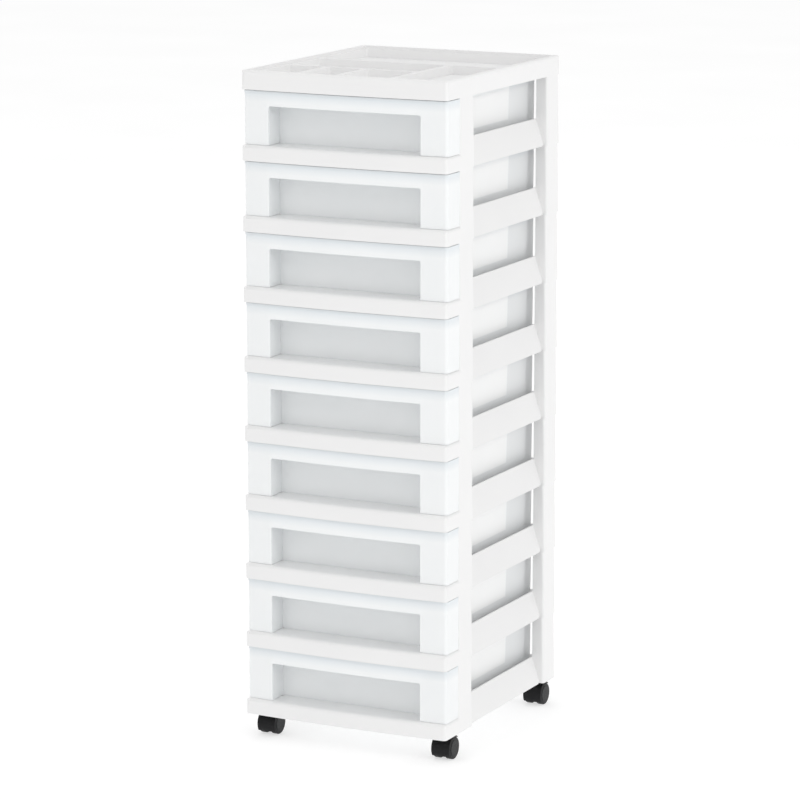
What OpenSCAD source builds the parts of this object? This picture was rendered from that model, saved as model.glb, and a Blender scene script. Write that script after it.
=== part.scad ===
// Plastic drawer tower: nine stacked tier frames, nine pull-out drawers, an organizer tray on top
// and four twin-wheel swivel casters. +Z is up, the drawers open towards -Y, and the origin is on
// the floor, under the middle of the plan. Lengths are in millimetres.

/* [Tower] */
// Width of the frames and the tray
tower_w = 306; // [270:1:340]
// Depth from the middle of the bowed front to the back
tower_d = 362; // [330:1:400]
// How far the middle of the front stands out past its corners
front_bow = 5; // [3:0.5:8]
// Height of one tier, from frame to frame
tier_h = 96; // [88:1:120]
// Radius of the tower's front and back corners in plan
corner_r = 4.5; // [4:0.5:10]

/* [Tier frame] */
// Wall of the tier frames
frame_wall = 2.4; // [1.8:0.1:3]
// Height of the front ledge and of the drawer's track above the frame's underside
ledge_h = 22; // [18:0.5:24]
// Depth of the front ledge, from its corner to the front posts
ledge_d = 41; // [36:1:46]
// Radius of the ledge's top edge
ledge_edge_r = 5; // [2:0.5:6]
// Width of a corner post
post_w = 14; // [12:0.5:16]
// Depth of a front post
front_post_d = 43; // [36:1:50]
// Depth of a back post
back_post_d = 39; // [34:1:46]
// Width of the flange along a post's inner edge, beside the side window
post_flange_w = 4; // [2:0.5:6]
// How far a post leans inwards over its height
post_lean = 2; // [1:0.5:3]
// Radius of a post's upright edges
post_edge_r = 3; // [1:0.5:4]
// Height of the side rails
rail_h = 37; // [26:1:44]
// How far a side rail's lower edge is set in from the side of the tower
rail_foot_inset = 5.5; // [1:0.5:7]
// Radius of a side rail's lower back corner
rail_corner_r = 8; // [4:0.5:10]
// Height of the pegs that join the tiers
peg_h = 7.5; // [5:0.5:7.5]
// Clearance around a peg in its socket
peg_clearance = 0.3; // [0.2:0.1:0.5]
// Width of the track under each side of a drawer
track_w = 27; // [22:1:30]
// Depth of the turned-down lip along the inner edge of a track
track_lip_h = 10; // [6:0.5:12]
// Height of the rib that guides the side of a drawer
guide_h = 6; // [4:0.5:8]
// Thickness of the guide rib
guide_t = 2; // [1.5:0.1:3]
// Height of the bar across the back
back_bar_h = 30; // [22:1:34]
// Thickness of the ribs under the ledge
ledge_rib_t = 1.8; // [1.5:0.1:2.4]

/* [Drawer] */
// Wall of the drawers
drawer_wall = 2.2; // [1.6:0.1:2.6]
// How far a drawer's front is narrower than the tower on each side
drawer_side_gap = 1.4; // [0.8:0.1:2]
// How far a drawer's front stands back from the front of the ledge
drawer_setback = 4.5; // [3:0.5:6]
// Gap above a drawer
drawer_top_gap = 1; // [0.8:0.1:3]
// Radius of the drawer front's upright corners
drawer_corner_r = 5; // [4:0.5:8]
// Height of the lip along the top of the drawer front
lip_h = 3; // [2:0.5:5]
// How far the lip stands out
lip_out = 0.8; // [0.4:0.1:1]
// Width of the side borders of the drawer front
stile_w = 38.5; // [34:0.5:42]
// Height of the top border of the drawer front, which is the finger pull
pull_h = 20; // [16:0.5:24]
// Depth of the finger recess
recess_d = 29; // [24:1:32]
// Radius of the recess's upper corners
recess_r = 2.5; // [1:0.5:4]
// Distance from the side of the tower to the side of a bin at its bottom
bin_side_inset = 33; // [30:0.5:36]
// How far each side of the bin leans out over its height
bin_draft = 2; // [1:0.5:3]
// Radius of the bin's lower edges
bin_edge_r = 8; // [4:0.5:10]
// Gap between the back of a bin and the back of the tower
bin_back_gap = 12; // [10:0.5:16]
// Width of the rim that stands out at the top of a bin
bin_rim_w = 3; // [2:0.5:5]
// Gap between a bin and its guide ribs
guide_gap = 1.2; // [0.6:0.1:1.8]
// Depth of the stop tabs under the back of a bin
stop_h = 9; // [6:0.5:11]
// How far the stop tabs stand in from the edges of the tracks
stop_inset = 8; // [6:1:12]

/* [Organizer tray] */
// Height of the tray
tray_h = 26; // [24:1:34]
// Radius of the tray's top edge
tray_edge_r = 3.5; // [2:0.5:4]
// Width of the flat rim
rim_w = 7.5; // [6:0.5:9]
// Drop from the rim to the step inside it
step_h = 4; // [3:0.5:5]
// Width of the step
step_w = 4.5; // [3:0.5:6]
// Wall of the tray
tray_wall = 2.2; // [1.8:0.1:2.6]
// Width of the dividers
divider_w = 8; // [6:0.5:10]
// Distance from the front corners to the middle of the first cross divider
cross_divider_1 = 116; // [100:1:130]
// Distance from the front corners to the middle of the second cross divider
cross_divider_2 = 207; // [180:1:230]
// Middle of the left divider of the front row
left_divider_x = -83; // [-100:1:-70]
// Middle of the middle divider of the front row
middle_divider_x = -25; // [-40:1:-10]
// Middle of the long divider beside the right compartment
right_divider_x = 56; // [40:1:80]
// Radius of the compartments' corners
pocket_r = 4; // [2:0.5:6]

/* [Casters] */
// Radius of a caster wheel
wheel_r = 15.5; // [14:0.5:16]
// Width over both wheels of a caster
caster_w = 28; // [25:1:31]
// Distance from the floor to the underside of the tower
caster_h = 36; // [35:0.5:42]
// Thickness of the web between the two wheels
web_t = 8; // [7:0.5:10]
// Thickness of the hood over the wheels
hood_t = 1.2; // [1:0.1:1.6]
// Gap between the hood and the wheels
hood_gap = 0.5; // [0.3:0.1:1]
// Distance from a caster's swivel axis back to its axle
trail = 7; // [6:0.5:8]
// Distance of the casters' swivel axes from the sides of the tower
caster_side_inset = 19; // [19:1:25]
// Distance of the front swivel axes behind the front corners
front_caster_inset = 32; // [24:1:32]
// Distance of the back swivel axes in front of the back
back_caster_inset = 27; // [24:1:30]
// Radius of a caster's steel stem
stem_r = 3.95; // [3.5:0.05:4.2]
// Length of the stem inside the tower
stem_len = 13; // [10:0.5:13]
// Radius of the steel axle
axle_r = 1.5; // [1.2:0.1:2]
// Running clearance of the stem in its socket and of the wheels on their axle
running_clearance = 0.05; // [0.02:0.01:0.08]

/* [Hidden] */
$fn = 48;
bow_facets = 720;
tiers = 9;
caster_names = ["front_left", "front_right", "back_left", "back_right"];

cut = 1;
overlap = 1;
least_r = 1;
square_back_r = 0.5;
half_w = tower_w / 2;
front_y = front_bow - tower_d / 2;
back_y = tower_d / 2;
bow_r = (half_w * half_w + front_bow * front_bow) / (2 * front_bow);

post_front_y = front_y + ledge_d;
post_inner_x = half_w - post_w;
post_angle = atan(post_lean / tier_h);
socket_x0 = post_inner_x + frame_wall;
socket_x1 = half_w - post_lean - frame_wall;
window_front_y = post_front_y + front_post_d;
window_back_y = back_y - back_post_d;
rail_top_x = post_inner_x - post_flange_w;
rail_foot_x = half_w - rail_foot_inset;
track_x = post_inner_x - track_w;
back_track_y = back_y - frame_wall - bin_back_gap;
bin_w = tower_w - 2 * bin_side_inset;
guide_x = bin_w / 2 + guide_gap;
guide_end_gap = 5;
ledge_rib_pitch = 50;
ledge_rib_drop = 4;
side_wing_d = 7;

drawer_w = tower_w - 2 * drawer_side_gap;
drawer_front_y = front_y + drawer_setback;
drawer_seat_gap = 0.3;
drawer_z = ledge_h + drawer_seat_gap;
drawer_top_z = tier_h - drawer_top_gap;
recess_w = drawer_w - 2 * stile_w;
recess_top_z = drawer_top_z - pull_h;
bin_front_y = drawer_front_y + recess_d;
bin_back_y = back_y - bin_back_gap;
bin_back_corner_r = 6;
bin_rim_z = drawer_top_z - drawer_wall;
stop_w = 14;
stop_x = track_x - stop_inset - stop_w;
stop_t = 4;
stop_back_inset = 7;

tray_z = caster_h + tiers * tier_h;
tray_socket_h = peg_h + peg_clearance;
floor_z = tray_socket_h + tray_wall;
compartment_inset = rim_w + step_w;
compartment_x = half_w - compartment_inset;
row_1_y = front_y + cross_divider_1;
row_2_y = front_y + cross_divider_2;

boss_r = 7;
caster_x = half_w - caster_side_inset;
boss_bore_end = stem_len + 1;
swivel_y = [front_y + front_caster_inset, back_y - back_caster_inset];
wheel_space_r = wheel_r + hood_gap;
hood_r = wheel_space_r + hood_t;
hood_side_gap = 0.4;
hood_w = caster_w - 2 * hood_side_gap;
hood_from = -35;
hood_to = 125;
hood_step = 20;
turret_r = 6.5;
spigot_r = 2.4;
spigot_len = 10;
seat_z = 2 * wheel_r;
wheel_gap = 0.3;
wheel_w = (caster_w - web_t) / 2 - wheel_gap;
wheel_edge_r = 1.5;
hub_floor_t = 2.2;
wheel_hub_depth = wheel_w - hub_floor_t;
hub_cap_r = 12;
hub_cap_h = 0.6;
axle_end_gap = 0.5;

white = "white";
frosted = "aliceblue";
black = [0.1, 0.1, 0.11];
steel = "silver";

// ---------- outlines with a bowed front ----------

// How far the bowed front falls back at a distance x from its middle
function sag(x) = bow_r - sqrt(bow_r * bow_r - x * x);
// The middle of the bow of an outline of the given width whose corners lie at front
function apex(width, front) = front - sag(width / 2);
// The front edge where it meets the rounded corner
function corner_front(width, front, r) = apex(width, front) + sag(width / 2 - r);

// A rectangle given by its two corners
module box_2d(x0, y0, x1, y1) {
    translate([x0, y0]) square([x1 - x0, y1 - y0]);
}

// A box given by its two corners
module box_3d(low, high) {
    translate(low) cube(high - low);
}

module both_sides() {
    children();
    mirror([1, 0, 0]) children();
}

module rounded_rect(x0, y0, x1, y1, r) {
    box_2d(x0 + r, y0, x1 - r, y1);
    box_2d(x0, y0 + r, x1, y1 - r);
    for (x = [x0 + r, x1 - r], y = [y0 + r, y1 - r]) translate([x, y]) circle(r);
}

// Outline with a bowed front, rounded front corners and back corners of radius back_r
module bowed_outline(width, front, back, r, back_r) {
    inner_x = width / 2 - r;
    front_edge = corner_front(width, front, r);
    tip = apex(width, front);
    back_x = width / 2 - back_r;
    box_2d(-inner_x, front_edge, inner_x, back - back_r);
    box_2d(-width / 2, front_edge + r, width / 2, back - back_r);
    box_2d(-back_x, back - back_r - overlap, back_x, back);
    intersection() {
        translate([0, tip + bow_r]) circle(bow_r, $fn = bow_facets);
        box_2d(-inner_x, tip - cut, inner_x, front_edge + r);
    }
    for (side = [-1, 1]) {
        translate([side * inner_x, front_edge + r]) circle(r);
        translate([side * back_x, back - back_r]) circle(back_r);
    }
}

// Outline of the tower, set in on all sides
module tower_outline(inset) {
    bowed_outline(
        tower_w - 2 * inset, front_y + inset, back_y - inset,
        max(corner_r - inset, least_r), max(corner_r - inset, least_r)
    );
}

// Half section of a slab: its outer top edge is rounded
module edge_section(length, height, edge_r) {
    square([length, height - edge_r]);
    square([length - edge_r, height]);
    translate([length - edge_r, height - edge_r]) circle(edge_r);
}

// Full section of the same slab
module full_section(length, height, edge_r) {
    edge_section(length, height, edge_r);
    mirror([1, 0]) edge_section(length, height, edge_r);
}

// Slab with a bowed front and a rounded top edge on the front and the sides, and also along
// the back where round_back is true
module rounded_slab(width, front, back, height, r, edge_r, round_back) {
    tip = apex(width, front);
    back_r = round_back ? r : square_back_r;
    intersection() {
        linear_extrude(height) bowed_outline(width, front, back, r, back_r);
        translate([0, back + cut, 0]) rotate([90, 0, 0])
            linear_extrude(back - tip + 2 * cut) full_section(width / 2, height, edge_r);
        translate([0, tip + bow_r, 0]) rotate_extrude($fn = bow_facets) edge_section(bow_r, height, edge_r);
        if (round_back) translate([-width, tip - cut, 0]) rotate([90, 0, 90])
            linear_extrude(2 * width) edge_section(back - tip + cut, height, edge_r);
    }
}

// ---------- tier frame ----------

// One corner post on the right, leaning inwards, from its underside up to the next tier
module post(y0, y1) {
    intersection() {
        translate([half_w, 0, 0]) rotate([0, -post_angle, 0]) translate([0, 0, -cut])
            linear_extrude(tier_h + 2 * cut) rounded_rect(-post_w, y0, 0, y1, post_edge_r);
        box_3d([0, y0, 0], [half_w, y1, tier_h]);
    }
    box_3d(
        [socket_x0 + peg_clearance, y0 + frame_wall + peg_clearance, tier_h - overlap],
        [socket_x1 - peg_clearance, y1 - frame_wall - peg_clearance, tier_h + peg_h]
    );
}

// Flange along the inner edge of a right-hand post, from the side window's edge at y0 to y1
module post_flange(y0, y1) {
    box_3d([rail_top_x, y0, 0], [post_inner_x + overlap, y1, tier_h]);
}

// The hollow of a post, open at the bottom, which takes the peg of the post below
module post_hollow(y0, y1, height) {
    box_3d([socket_x0, y0 + frame_wall, -cut], [socket_x1, y1 - frame_wall, height]);
}

// Sloped side rail on the right, between the posts, with its lower back corner rounded
module side_rail() {
    front_end = window_front_y - overlap;
    back_end = window_back_y + overlap;
    intersection() {
        translate([0, back_end, 0]) rotate([90, 0, 0]) linear_extrude(back_end - front_end)
            polygon([
                [rail_foot_x, 0], [rail_top_x, rail_h],
                [rail_top_x - frame_wall, rail_h], [rail_foot_x - frame_wall, 0]
            ]);
        rotate([90, 0, 90]) linear_extrude(half_w) {
            box_2d(front_end, 0, back_end - rail_corner_r, rail_h);
            box_2d(front_end, rail_corner_r, back_end, rail_h);
            translate([back_end - rail_corner_r, rail_corner_r]) circle(rail_corner_r);
        }
    }
}

// Stretch of the right track from y0 to y1, out to outer_x
module track_strip(y0, y1, outer_x) {
    box_3d([track_x, y0, ledge_h - frame_wall], [outer_x, y1, ledge_h]);
}

// Track under the right side of a drawer, with its turned-down lip and its guide rib
module track() {
    rail_run = (rail_foot_x - rail_top_x) / rail_h;
    rail_x = rail_foot_x - frame_wall / 2 - rail_run * ledge_h;
    track_strip(post_front_y - overlap, window_front_y, post_inner_x + overlap);
    track_strip(window_front_y - overlap, window_back_y + overlap, rail_x);
    track_strip(window_back_y, back_y - overlap, post_inner_x + overlap);
    box_3d(
        [track_x, post_front_y - overlap, ledge_h - track_lip_h],
        [track_x + frame_wall, back_y - overlap, ledge_h]
    );
    box_3d(
        [guide_x, post_front_y + guide_end_gap, ledge_h - overlap],
        [guide_x + guide_t, back_track_y, ledge_h + guide_h]
    );
}

module ledge() {
    wing_y = post_front_y + side_wing_d;
    difference() {
        rounded_slab(tower_w, front_y, wing_y, ledge_h, corner_r, ledge_edge_r, false);
        box_3d([-post_inner_x, post_front_y, -cut], [post_inner_x, wing_y + cut, ledge_h + cut]);
        translate([0, 0, -cut]) linear_extrude(ledge_h - frame_wall + cut)
            bowed_outline(
                tower_w - 2 * frame_wall, front_y + frame_wall, post_front_y - frame_wall,
                corner_r - frame_wall, least_r
            );
    }
    for (x = [-2 : 2]) box_3d(
        [x * ledge_rib_pitch - ledge_rib_t / 2, front_y, ledge_rib_drop],
        [x * ledge_rib_pitch + ledge_rib_t / 2, post_front_y - overlap, ledge_h - overlap]
    );
}

module back_bar() {
    box_3d([-post_inner_x - overlap, back_y - 2 * frame_wall, 0], [post_inner_x + overlap, back_y - frame_wall, back_bar_h]);
    box_3d(
        [-track_x - overlap, back_track_y, ledge_h - frame_wall],
        [track_x + overlap, back_y - frame_wall - overlap, ledge_h]
    );
}

module caster_socket(y) {
    translate([caster_x, y, 0]) cylinder(r = boss_r, h = ledge_h - overlap);
}

module tier_frame(tier) {
    level = caster_h + (tiers - tier) * tier_h;
    color(white) translate([0, 0, level]) difference() {
        union() {
            ledge();
            back_bar();
            both_sides() {
                post(post_front_y, window_front_y);
                post(window_back_y, back_y);
                post_flange(window_front_y - frame_wall, window_front_y);
                post_flange(window_back_y, window_back_y + frame_wall);
                side_rail();
                track();
                for (y = swivel_y) caster_socket(y);
            }
        }
        both_sides() {
            post_hollow(post_front_y, window_front_y, tier_h - frame_wall);
            post_hollow(window_back_y, back_y, tier_h - frame_wall);
            for (y = swivel_y) translate([caster_x, y, -cut])
                cylinder(r = stem_r + running_clearance, h = boss_bore_end + cut);
        }
    }
}

// ---------- drawer ----------

// The front: a hollow border open at its underside, around a finger recess
module drawer_front() {
    bezel_back = post_front_y - drawer_seat_gap;
    bezel_h = drawer_top_z - drawer_z;
    difference() {
        union() {
            translate([0, 0, drawer_z]) linear_extrude(bezel_h - overlap)
                bowed_outline(drawer_w, drawer_front_y, bezel_back, drawer_corner_r, square_back_r);
            translate([0, 0, drawer_top_z - lip_h]) linear_extrude(lip_h) bowed_outline(
                drawer_w + 2 * lip_out, drawer_front_y - lip_out, bezel_back - overlap,
                drawer_corner_r + lip_out, square_back_r
            );
        }
        translate([0, 0, drawer_z - cut]) linear_extrude(bezel_h - drawer_wall + cut)
            bowed_outline(
                drawer_w - 2 * drawer_wall, drawer_front_y + drawer_wall, bezel_back - drawer_wall,
                drawer_corner_r - drawer_wall, least_r
            );
        recess_opening();
        bin_mouth();
    }
    both_sides() recess_side();
}

// The opening through the front, with rounded upper corners
module recess_opening() {
    translate([0, bin_front_y, 0]) rotate([90, 0, 0])
        linear_extrude(bin_front_y - front_y + 2 * front_bow)
            rounded_rect(-recess_w / 2, 0, recess_w / 2, recess_top_z, recess_r);
}

// The side of the recess, between the front's border and the bin
module recess_side() {
    box_3d(
        [recess_w / 2, drawer_front_y - sag(drawer_w / 2) + sag(recess_w / 2) + drawer_wall / 2, drawer_z],
        [recess_w / 2 + drawer_wall, bin_front_y + overlap, drawer_top_z - overlap]
    );
}

// Section of the bin across the tower, set in by its wall for the inside
module bin_section(inset, top) {
    r = bin_edge_r - inset;
    low_x = bin_w / 2 - inset;
    high_x = low_x + bin_draft;
    floor_line = ledge_h + inset;
    box_2d(-low_x + r, floor_line, low_x - r, floor_line + r + overlap);
    polygon([[-low_x, floor_line + r], [low_x, floor_line + r], [high_x, top], [-high_x, top]]);
    for (side = [-1, 1]) translate([side * (low_x - r), floor_line + r]) circle(r);
}

module bin_solid(inset, top) {
    side_x = bin_w / 2 + bin_draft - inset;
    intersection() {
        translate([0, bin_back_y - inset, 0]) rotate([90, 0, 0])
            linear_extrude(bin_back_y - bin_front_y - 2 * inset) bin_section(inset, top);
        linear_extrude(top) union() {
            rounded_rect(-side_x, bin_front_y + inset, side_x, bin_back_y - inset, bin_back_corner_r - inset);
            box_2d(-side_x, bin_front_y + inset, side_x, bin_front_y + inset + bin_back_corner_r);
        }
    }
}

// The inside of the bin, open at the top
module bin_mouth() {
    bin_solid(drawer_wall, drawer_top_z + cut);
}

// The rim that stiffens the top of the bin's sides and back
module bin_rim() {
    side_x = bin_w / 2 + bin_draft + bin_rim_w;
    translate([0, 0, bin_rim_z]) linear_extrude(drawer_wall) difference() {
        rounded_rect(-side_x, bin_front_y, side_x, bin_back_y + bin_rim_w, bin_back_corner_r);
        box_2d(-side_x, front_y, side_x, bin_front_y + drawer_wall);
    }
}

module drawer(tier) {
    level = caster_h + (tiers - tier) * tier_h;
    color(frosted, 0.6) translate([0, 0, level]) {
        difference() {
            union() {
                drawer_front();
                bin_solid(0, drawer_top_z);
                bin_rim();
            }
            bin_mouth();
        }
        both_sides() box_3d(
            [stop_x, bin_back_y - stop_back_inset - stop_t, ledge_h - stop_h],
            [stop_x + stop_w, bin_back_y - stop_back_inset, ledge_h + drawer_wall / 2]
        );
    }
}

// ---------- organizer tray ----------

// One compartment between two corners, cut down to the tray's floor
module compartment(x0, y0, x1, y1) {
    translate([0, 0, floor_z]) linear_extrude(tray_h) intersection() {
        tower_outline(compartment_inset);
        rounded_rect(x0, y0, x1, y1, pocket_r);
    }
}

// The hollow under a divider between two corners
module divider_hollow(x0, y0, x1, y1) {
    inset = tray_wall;
    box_3d([x0 + inset, y0 + inset, -cut], [x1 - inset, y1 - inset, tray_h - step_h - tray_wall]);
}

module compartments() {
    half = divider_w / 2;
    tip = front_y - front_bow;
    compartment(-compartment_x, tip, left_divider_x - half, row_1_y - half);
    compartment(left_divider_x + half, tip, middle_divider_x - half, row_1_y - half);
    compartment(middle_divider_x + half, tip, right_divider_x - half, row_1_y - half);
    compartment(-compartment_x, row_1_y + half, right_divider_x - half, row_2_y - half);
    compartment(right_divider_x + half, tip, compartment_x, row_2_y - half);
    compartment(-compartment_x, row_2_y + half, compartment_x, back_y - compartment_inset);
}

module divider_hollows() {
    half = divider_w / 2;
    front = front_y + compartment_inset;
    divider_hollow(-compartment_x, row_2_y - half, compartment_x, row_2_y + half);
    divider_hollow(-compartment_x, row_1_y - half, right_divider_x + half, row_1_y + half);
    divider_hollow(left_divider_x - half, front, left_divider_x + half, row_1_y + half);
    divider_hollow(middle_divider_x - half, front, middle_divider_x + half, row_1_y + half);
    divider_hollow(right_divider_x - half, front, right_divider_x + half, row_2_y + half);
}

module organizer_top() {
    color(white) translate([0, 0, tray_z]) difference() {
        rounded_slab(tower_w, front_y, back_y, tray_h, corner_r, tray_edge_r, true);
        translate([0, 0, tray_h - step_h]) linear_extrude(tray_h) tower_outline(rim_w);
        compartments();
        divider_hollows();
        // the open underside, around the sockets for the top frame's posts
        difference() {
            translate([0, 0, -cut]) linear_extrude(tray_socket_h + cut) tower_outline(frame_wall);
            both_sides() {
                box_3d([post_inner_x, post_front_y, 0], [half_w, window_front_y, tray_h]);
                box_3d([post_inner_x, window_back_y, 0], [half_w, back_y, tray_h]);
            }
        }
        both_sides() {
            post_hollow(post_front_y, window_front_y, tray_socket_h);
            post_hollow(window_back_y, back_y, tray_socket_h);
        }
        // the hollow of the rim
        translate([0, 0, -cut]) linear_extrude(tray_h - step_h - tray_wall + cut) difference() {
            tower_outline(frame_wall);
            tower_outline(compartment_inset - tray_wall);
            both_sides() {
                box_2d(post_inner_x, post_front_y, half_w, window_front_y);
                box_2d(post_inner_x, window_back_y, half_w, back_y);
            }
        }
    }
}

// ---------- casters ----------

// Moves a caster part, drawn with its axle through the origin and the hood towards -Y, to its
// corner of the tower
module at_caster(index) {
    side = index % 2 == 0 ? -1 : 1;
    row = floor(index / 2);
    translate([side * caster_x, swivel_y[row] + trail, wheel_r]) children();
}

// Stands a shape drawn in the Y-Z plane across the caster's width
module across(width) {
    translate([-width / 2, 0, 0]) rotate([90, 0, 90]) linear_extrude(width) children();
}

// The part of a disc that the hood covers, from below the front to past the top
module hood_sector(r) {
    reach = 2 * r;
    intersection() {
        circle(r);
        polygon(concat(
            [[0, 0]],
            [for (angle = [hood_from : hood_step : hood_to]) reach * [-cos(angle), sin(angle)]]
        ));
    }
}

module caster_hood(index) {
    top = caster_h - wheel_r;
    seat = seat_z - wheel_r;
    color(black) at_caster(index) difference() {
        union() {
            across(hood_w) hood_sector(hood_r);
            across(web_t) circle(hood_r / 2);
            translate([0, -trail, 0]) cylinder(r = turret_r, h = top);
        }
        for (side = [0, 1]) mirror([side, 0, 0]) translate([web_t / 2, 0, 0])
            rotate([0, 90, 0]) cylinder(r = wheel_space_r, h = caster_w);
        rotate([0, 90, 0]) cylinder(r = axle_r, h = 2 * web_t, center = true);
        translate([0, -trail, seat]) cylinder(r = stem_r, h = caster_h);
        translate([0, -trail, seat - spigot_len]) cylinder(r = spigot_r, h = caster_h);
    }
}

module caster_stem(index) {
    seat = seat_z - wheel_r;
    top = caster_h - wheel_r + stem_len;
    color(steel) at_caster(index) translate([0, -trail, 0]) {
        translate([0, 0, seat]) cylinder(r = stem_r, h = top - seat);
        translate([0, 0, seat - spigot_len]) cylinder(r = spigot_r, h = spigot_len + overlap);
    }
}

module caster_axle(index) {
    reach = web_t / 2 + wheel_gap + wheel_hub_depth - axle_end_gap;
    color(steel) at_caster(index) rotate([0, 90, 0]) cylinder(r = axle_r, h = 2 * reach, center = true);
}

// Half section of a wheel, from its inner face outwards
module wheel_section() {
    face = wheel_w - hub_cap_h;
    difference() {
        union() {
            square([wheel_r - wheel_edge_r, face]);
            translate([0, wheel_edge_r]) square([wheel_r, face - 2 * wheel_edge_r]);
            for (height = [wheel_edge_r, face - wheel_edge_r])
                translate([wheel_r - wheel_edge_r, height]) circle(wheel_edge_r);
            square([hub_cap_r, wheel_w]);
        }
        translate([-cut, -cut]) square([cut + axle_r + running_clearance, wheel_hub_depth + cut]);
        translate([-2 * cut, -cut]) square([2 * cut, wheel_w + 2 * cut]);
    }
}

module caster_wheel(index, side) {
    color(black) at_caster(index) mirror([side < 0 ? 1 : 0, 0, 0])
        translate([web_t / 2 + wheel_gap, 0, 0]) rotate([0, 90, 0]) rotate_extrude() wheel_section();
}

// ---------- the nodes ----------

organizer_top();
for (tier = [1:tiers]) {
    tier_frame(tier);
    drawer(tier);
}
for (index = [0:3]) {
    prefix = str("caster_", caster_names[index], "_");
    caster_hood(index);
    caster_stem(index);
    caster_axle(index);
    caster_wheel(index, -1);
    caster_wheel(index, 1);
}
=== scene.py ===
import math

import bpy
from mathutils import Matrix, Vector

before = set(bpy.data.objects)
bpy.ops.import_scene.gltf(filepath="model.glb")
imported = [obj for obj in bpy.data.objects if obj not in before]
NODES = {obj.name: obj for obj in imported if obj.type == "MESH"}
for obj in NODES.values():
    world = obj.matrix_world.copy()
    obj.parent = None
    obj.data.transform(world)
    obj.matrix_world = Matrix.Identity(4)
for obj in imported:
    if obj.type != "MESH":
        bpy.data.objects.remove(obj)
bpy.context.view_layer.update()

MM = 0.001

# The camera: metres, degrees and millimetres of lens and sensor.
CAMERA_PLACE = (2.240, -4.4935, 1.4758)
CAMERA_YAW = 26.534
CAMERA_PITCH = 11.452
CAMERA_LENS = 166.84
CAMERA_SENSOR = 36.0
CAMERA_RANGE = 200.0

# Colours, each as the two ends of a faintly cloudy range.
FRAME_WHITE = ((0.870, 0.868, 0.868), (0.890, 0.888, 0.886))
DRAWER_WHITE = ((0.950, 0.958, 0.955), (0.970, 0.974, 0.970))
HOOD_BLACK = ((0.002, 0.002, 0.003), (0.006, 0.006, 0.007))
WHEEL_BLACK = ((0.007, 0.007, 0.008), (0.016, 0.016, 0.017))
STEEL_GREY = ((0.52, 0.53, 0.54), (0.66, 0.67, 0.68))
FLOOR_GREY = ((0.49, 0.49, 0.49), (0.51, 0.51, 0.51))

# Roughness, again as the two ends of a range.
FRAME_ROUGH = (0.38, 0.50)
DRAWER_ROUGH = (0.31, 0.42)
HOOD_ROUGH = (0.30, 0.45)
WHEEL_ROUGH = (0.35, 0.50)
STEEL_ROUGH = (0.22, 0.38)

# Tints of painted light and shade that are laid over a drawer's white, and the stretches where
# each one starts and is full, as shares of the drawer's own width, depth and height.
NO_TINT = (1.0, 1.0, 1.0)
# Painted shade along a drawer's top edge, where the ledge above overhangs it.
TOP_SHADE_TINT = (0.87, 0.893, 0.915)
TOP_EDGE = (0.82, 0.96)
# Painted light and shade on a drawer's side walls: a panel painted as lit keeps the plain white, the
# rear and low stretches take painted shadow of the frame's rear post and rail, and the rest of the
# drawer is dimmed a little.
REST_PAINTED_DIM_TINT = (0.952, 0.967, 0.977)
PAINTED_SHADOW_TINT = (0.85, 0.86, 0.87)
REST_PAINTED_SHADE = 0.3
SIDE_WALL_FROM_MIDDLE = (0.36, 0.37)
BEHIND_FRONT = (0.120, 0.125)
PAINTED_LIGHT_REAR_END = (0.738, 0.746)
PAINTED_LIGHT_LOW_END = (0.345, 0.365)

POLYPROPYLENE_IOR = 1.49
NYLON_SPECULAR = 0.25

# Radius that the mould leaves on the edges of each kind of piece, in metres.
FRAME_EDGE = 0.6 * MM
DRAWER_EDGE = 0.5 * MM
CASTER_EDGE = 0.3 * MM

FLOOR_HALF = 40.0
FLOOR_GLOW = (0.60, 0.37)
FLOOR_FADE = (14.0, 36.0)

WORLD_STRENGTH = 0.74
LIGHT_TARGET = (0.0, 0.0, 0.5)
# Name, place and diameter in metres, and watts.
LIGHTS = (
    ("right", (6.4, -1.2, 3.0), 3.0, 76.0),
    ("front", (-0.5, -5.0, 6.0), 3.5, 50.0),
    ("above", (-1.0, 2.5, 6.5), 3.0, 40.0),
)


def add_object(name, data, place=None, aim=None):
    """Adds an object to the scene. Where it is given, its -Z side points along aim."""
    item = bpy.data.objects.new(name, data)
    bpy.context.scene.collection.objects.link(item)
    if place is not None:
        item.location = place
    if aim is not None:
        item.rotation_mode = "QUATERNION"
        item.rotation_quaternion = aim.to_track_quat("-Z", "Y")
    return item


def make_camera():
    data = bpy.data.cameras.new("camera")
    data.lens = CAMERA_LENS
    data.sensor_width = CAMERA_SENSOR
    data.clip_end = CAMERA_RANGE
    yaw, pitch = math.radians(CAMERA_YAW), math.radians(CAMERA_PITCH)
    aim = Vector(
        (-math.sin(yaw) * math.cos(pitch), math.cos(yaw) * math.cos(pitch), -math.sin(pitch))
    )
    bpy.context.scene.camera = add_object("camera", data, CAMERA_PLACE, aim)


# ---------------------------------------------------------------- material helpers


def new_material(name):
    """Gives the material, its node tree, its shader and the place of a point in metres."""
    material = bpy.data.materials.new(name)
    material.use_nodes = True
    tree = material.node_tree
    shader = tree.nodes["Principled BSDF"]
    place = tree.nodes.new("ShaderNodeTexCoord")
    return material, tree, shader, place.outputs["Object"]


def place_in_piece(tree):
    """Where a point lies in its own piece: x, y and z, each from 0 at the low end to 1."""
    place = tree.nodes.new("ShaderNodeTexCoord")
    split = tree.nodes.new("ShaderNodeSeparateXYZ")
    tree.links.new(place.outputs["Generated"], split.inputs["Vector"])
    return split.outputs["X"], split.outputs["Y"], split.outputs["Z"]


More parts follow.
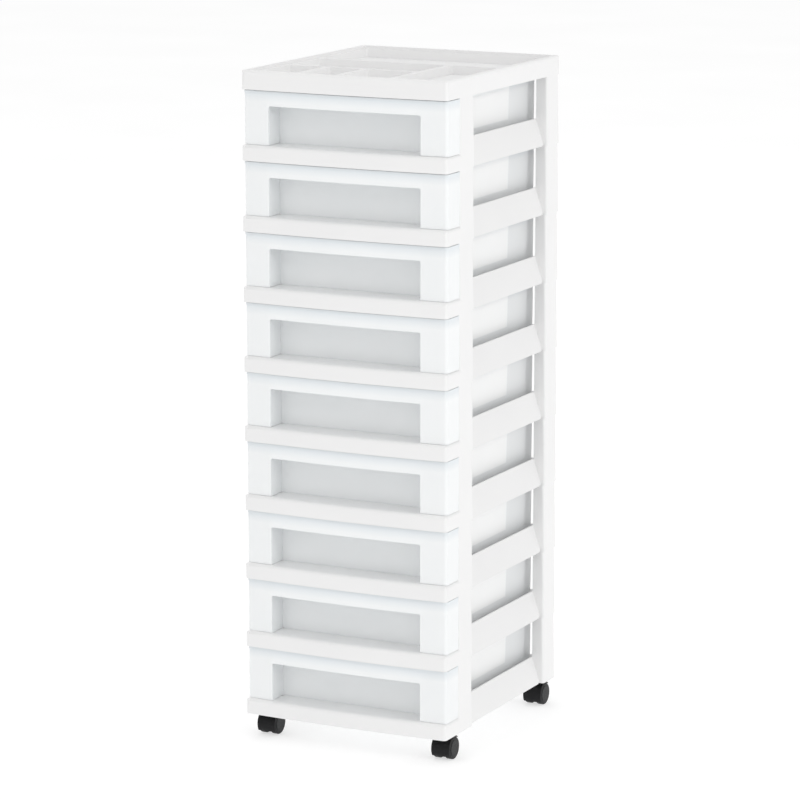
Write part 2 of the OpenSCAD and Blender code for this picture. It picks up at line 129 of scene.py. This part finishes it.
def noise(tree, place, scale, detail=3.0, stretch=None):
    """Noise with the given number of cycles in a metre, or stretched along the axes."""
    if stretch is not None:
        mapping = tree.nodes.new("ShaderNodeMapping")
        mapping.inputs["Scale"].default_value = stretch
        tree.links.new(place, mapping.inputs["Vector"])
        place = mapping.outputs["Vector"]
    node = tree.nodes.new("ShaderNodeTexNoise")
    node.inputs["Scale"].default_value = scale
    node.inputs["Detail"].default_value = detail
    tree.links.new(place, node.inputs["Vector"])
    return node.outputs["Fac"]


def ramp(tree, value, stops):
    """Maps a value through colour stops: a list of (position, colour)."""
    node = tree.nodes.new("ShaderNodeValToRGB")
    elements = node.color_ramp.elements
    while len(elements) < len(stops):
        elements.new(0.5)
    for element, (position, colour) in zip(elements, stops):
        element.position = position
        element.color = (*colour, 1.0)
    tree.links.new(value, node.inputs["Fac"])
    return node.outputs["Color"]


def cloudy(tree, value, colours):
    """Spreads two colours over the middle of a noise value's range."""
    low, high = colours
    return ramp(tree, value, [(0.3, low), (0.7, high)])


def between(tree, value, results, limits=(0.3, 0.7)):
    """Maps a value between the limits to the range of results, and holds it at their ends."""
    node = tree.nodes.new("ShaderNodeMapRange")
    node.inputs["From Min"].default_value, node.inputs["From Max"].default_value = limits
    node.inputs["To Min"].default_value, node.inputs["To Max"].default_value = results
    tree.links.new(value, node.inputs["Value"])
    return node.outputs["Result"]


def calculate(tree, operation, *values):
    """A math node on values that are each a number or a socket."""
    node = tree.nodes.new("ShaderNodeMath")
    node.operation = operation
    for value, socket in zip(values, node.inputs):
        if isinstance(value, float):
            socket.default_value = value
        else:
            tree.links.new(value, socket)
    return node.outputs["Value"]


def multiply(tree, first, second):
    """Multiplies two colours."""
    node = tree.nodes.new("ShaderNodeMix")
    node.data_type = "RGBA"
    node.blend_type = "MULTIPLY"
    node.inputs["Factor"].default_value = 1.0
    tree.links.new(first, node.inputs["A"])
    tree.links.new(second, node.inputs["B"])
    return node.outputs["Result"]


def bump(tree, shader, height, distance, strength, after=None):
    node = tree.nodes.new("ShaderNodeBump")
    node.inputs["Distance"].default_value = distance
    node.inputs["Strength"].default_value = strength
    tree.links.new(height, node.inputs["Height"])
    if after is not None:
        tree.links.new(after, node.inputs["Normal"])
    tree.links.new(node.outputs["Normal"], shader.inputs["Normal"])
    return node.outputs["Normal"]


def make_polypropylene(shader, milkiness, depth):
    """Light goes a little way into the wall: depth is how far, in metres."""
    shader.inputs["IOR"].default_value = POLYPROPYLENE_IOR
    shader.inputs["Subsurface Weight"].default_value = milkiness
    shader.inputs["Subsurface Radius"].default_value = (1.0, 1.0, 1.0)
    shader.inputs["Subsurface Scale"].default_value = depth


# ---------------------------------------------------------------- materials


def white_plastic(name):
    """Satin white polypropylene: fine mould grain, slow waves of the wall and faint cloudiness."""
    material, tree, shader, place = new_material(name)
    colour = cloudy(tree, noise(tree, place, 7.0, 2.0), FRAME_WHITE)
    tree.links.new(colour, shader.inputs["Base Color"])
    rough = between(tree, noise(tree, place, 45.0), FRAME_ROUGH)
    tree.links.new(rough, shader.inputs["Roughness"])
    waves = bump(tree, shader, noise(tree, place, 12.0, 1.0), 0.3 * MM, 0.4)
    bump(tree, shader, noise(tree, place, 1500.0, 2.0), 0.03 * MM, 0.5, after=waves)
    make_polypropylene(shader, 0.1, 2.0 * MM)
    return material


def painted_shade_amount(tree, x, y, z):
    """Painted shade: 0 on the side-wall panel painted as lit, 1 behind and below it, between on the
    rest.
    """
    from_middle = calculate(tree, "ABSOLUTE", calculate(tree, "SUBTRACT", x, 0.5))
    side = between(tree, from_middle, (0.0, 1.0), SIDE_WALL_FROM_MIDDLE)
    behind_front = between(tree, y, (0.0, 1.0), BEHIND_FRONT)
    rear = between(tree, y, (0.0, 1.0), PAINTED_LIGHT_REAR_END)
    low = between(tree, z, (1.0, 0.0), PAINTED_LIGHT_LOW_END)
    wall = calculate(tree, "MULTIPLY", side, behind_front)
    shade = calculate(tree, "SUBTRACT", calculate(tree, "MAXIMUM", rear, low), REST_PAINTED_SHADE)
    return calculate(tree, "ADD", calculate(tree, "MULTIPLY", wall, shade), REST_PAINTED_SHADE)


def frosted_plastic(name):
    """Frosted translucent polypropylene: milky, with a soft gloss and faint flow marks. Painted shade
    darkens a drawer's top edge, under the overhang of the ledge above, and painted shadow of the
    frame's rear post and rail darkens the rear and the low stretch of the side walls, leaving a
    panel painted as lit; the rest of the drawer is dimmed a little."""
    material, tree, shader, place = new_material(name)
    x, y, z = place_in_piece(tree)
    colour = cloudy(tree, noise(tree, place, 14.0, 2.0), DRAWER_WHITE)
    # Painted shade: the drawer darkens towards its top edge, as it does under the ledge above.
    edge = ramp(tree, z, [(TOP_EDGE[0], NO_TINT), (TOP_EDGE[1], TOP_SHADE_TINT)])
    # Painted light and shade: the side-wall panel painted as lit, with painted shadow behind and
    # below it.
    shades = [(0.0, NO_TINT), (REST_PAINTED_SHADE, REST_PAINTED_DIM_TINT), (1.0, PAINTED_SHADOW_TINT)]
    painted_shade = ramp(tree, painted_shade_amount(tree, x, y, z), shades)
    tree.links.new(multiply(tree, multiply(tree, colour, edge), painted_shade), shader.inputs["Base Color"])
    rough = between(tree, noise(tree, place, 36.0, 2.0), DRAWER_ROUGH)
    tree.links.new(rough, shader.inputs["Roughness"])
    waves = bump(tree, shader, noise(tree, place, 16.0, 1.0), 0.3 * MM, 0.35)
    bump(tree, shader, noise(tree, place, 1300.0, 2.0), 0.02 * MM, 0.4, after=waves)
    make_polypropylene(shader, 0.3, 3.0 * MM)
    return material


def black_plastic(name, colours, roughness):
    """Black moulded nylon with a fine grain and a little dust."""
    material, tree, shader, place = new_material(name)
    low, high = colours
    dust = ramp(tree, noise(tree, place, 220.0, 5.0), [(0.4, low), (0.75, high)])
    tree.links.new(dust, shader.inputs["Base Color"])
    rough = between(tree, noise(tree, place, 400.0), roughness)
    tree.links.new(rough, shader.inputs["Roughness"])
    bump(tree, shader, noise(tree, place, 2600.0, 2.0), 0.04 * MM, 0.6)
    shader.inputs["Specular IOR Level"].default_value = NYLON_SPECULAR
    return material


def steel(name):
    """Zinc plated steel with turning marks."""
    material, tree, shader, place = new_material(name)
    marks = noise(tree, place, 500.0, 2.0, stretch=(1.0, 1.0, 12.0))
    tree.links.new(cloudy(tree, marks, STEEL_GREY), shader.inputs["Base Color"])
    tree.links.new(between(tree, marks, STEEL_ROUGH), shader.inputs["Roughness"])
    bump(tree, shader, marks, 0.03 * MM, 0.5)
    shader.inputs["Metallic"].default_value = 1.0
    return material


def floor_material():
    """A pale floor, bright enough to read as studio white, with a faint shadow left on it. Far out
    it dims to the tone of the world, so that no line is left where the two meet."""
    material, tree, shader, place = new_material("pale_floor")
    colour = cloudy(tree, noise(tree, place, 2.0), FLOOR_GREY)
    tree.links.new(colour, shader.inputs["Base Color"])
    shader.inputs["Roughness"].default_value = 1.0
    shader.inputs["Specular IOR Level"].default_value = 0.0
    shader.inputs["Emission Color"].default_value = (1.0, 1.0, 1.0, 1.0)
    distance = tree.nodes.new("ShaderNodeVectorMath")
    distance.operation = "LENGTH"
    tree.links.new(place, distance.inputs[0])
    glow = between(tree, distance.outputs["Value"], FLOOR_GLOW, FLOOR_FADE)
    tree.links.new(glow, shader.inputs["Emission Strength"])
    return material


# ---------------------------------------------------------------- CAD nodes


def soften_edges(node, width):
    """Rounds a moulded part's edges as the mould does, without touching its mesh."""
    weld = node.modifiers.new("weld", "WELD")
    weld.merge_threshold = 0.01 * MM
    bevel = node.modifiers.new("edge", "BEVEL")
    bevel.width = width
    bevel.segments = 2
    bevel.limit_method = "ANGLE"
    bevel.angle_limit = math.radians(38)
    bevel.miter_outer = "MITER_ARC"
    bevel.use_clamp_overlap = True
    even = node.modifiers.new("even", "WEIGHTED_NORMAL")
    even.mode = "FACE_AREA"
    even.weight = 50


def dress(node, material, edge_width):
    node.data.materials.clear()
    node.data.materials.append(material)
    soften_edges(node, edge_width)
    node.data.shade_smooth()


def dress_nodes():
    frames = white_plastic("white_frame")
    drawers = frosted_plastic("frosted_drawer")
    hood = black_plastic("black_hood", HOOD_BLACK, HOOD_ROUGH)
    wheel = black_plastic("black_wheel", WHEEL_BLACK, WHEEL_ROUGH)
    metal = steel("zinc_steel")
    for name, node in NODES.items():
        if name.startswith("drawer_"):
            dress(node, drawers, DRAWER_EDGE)
        elif name.startswith("caster_") and name.endswith(("stem", "axle")):
            dress(node, metal, CASTER_EDGE)
        elif name.startswith("caster_"):
            dress(node, wheel if "wheel" in name else hood, CASTER_EDGE)
        else:
            dress(node, frames, FRAME_EDGE)


# ---------------------------------------------------------------- studio


def make_floor():
    corners = [(-1, -1), (1, -1), (1, 1), (-1, 1)]
    mesh = bpy.data.meshes.new("floor")
    mesh.from_pydata([(x * FLOOR_HALF, y * FLOOR_HALF, 0) for x, y in corners], [], [(0, 1, 2, 3)])
    floor = add_object("floor", mesh)
    floor.data.materials.append(floor_material())


def make_lights():
    """A bright world, and soft discs of light that point at the middle of the tower."""
    world = bpy.data.worlds.new("studio")
    bpy.context.scene.world = world
    world.use_nodes = True
    background = world.node_tree.nodes["Background"]
    background.inputs["Color"].default_value = (1.0, 1.0, 1.0, 1.0)
    background.inputs["Strength"].default_value = WORLD_STRENGTH
    for name, place, size, power in LIGHTS:
        data = bpy.data.lights.new(name, "AREA")
        data.shape = "DISK"
        data.size = size
        data.energy = power
        light = add_object(name, data, place, Vector(LIGHT_TARGET) - Vector(place))
        light.visible_camera = False


def main():
    make_camera()
    dress_nodes()
    make_floor()
    make_lights()
    bpy.context.scene.view_settings.view_transform = "Standard"


main()
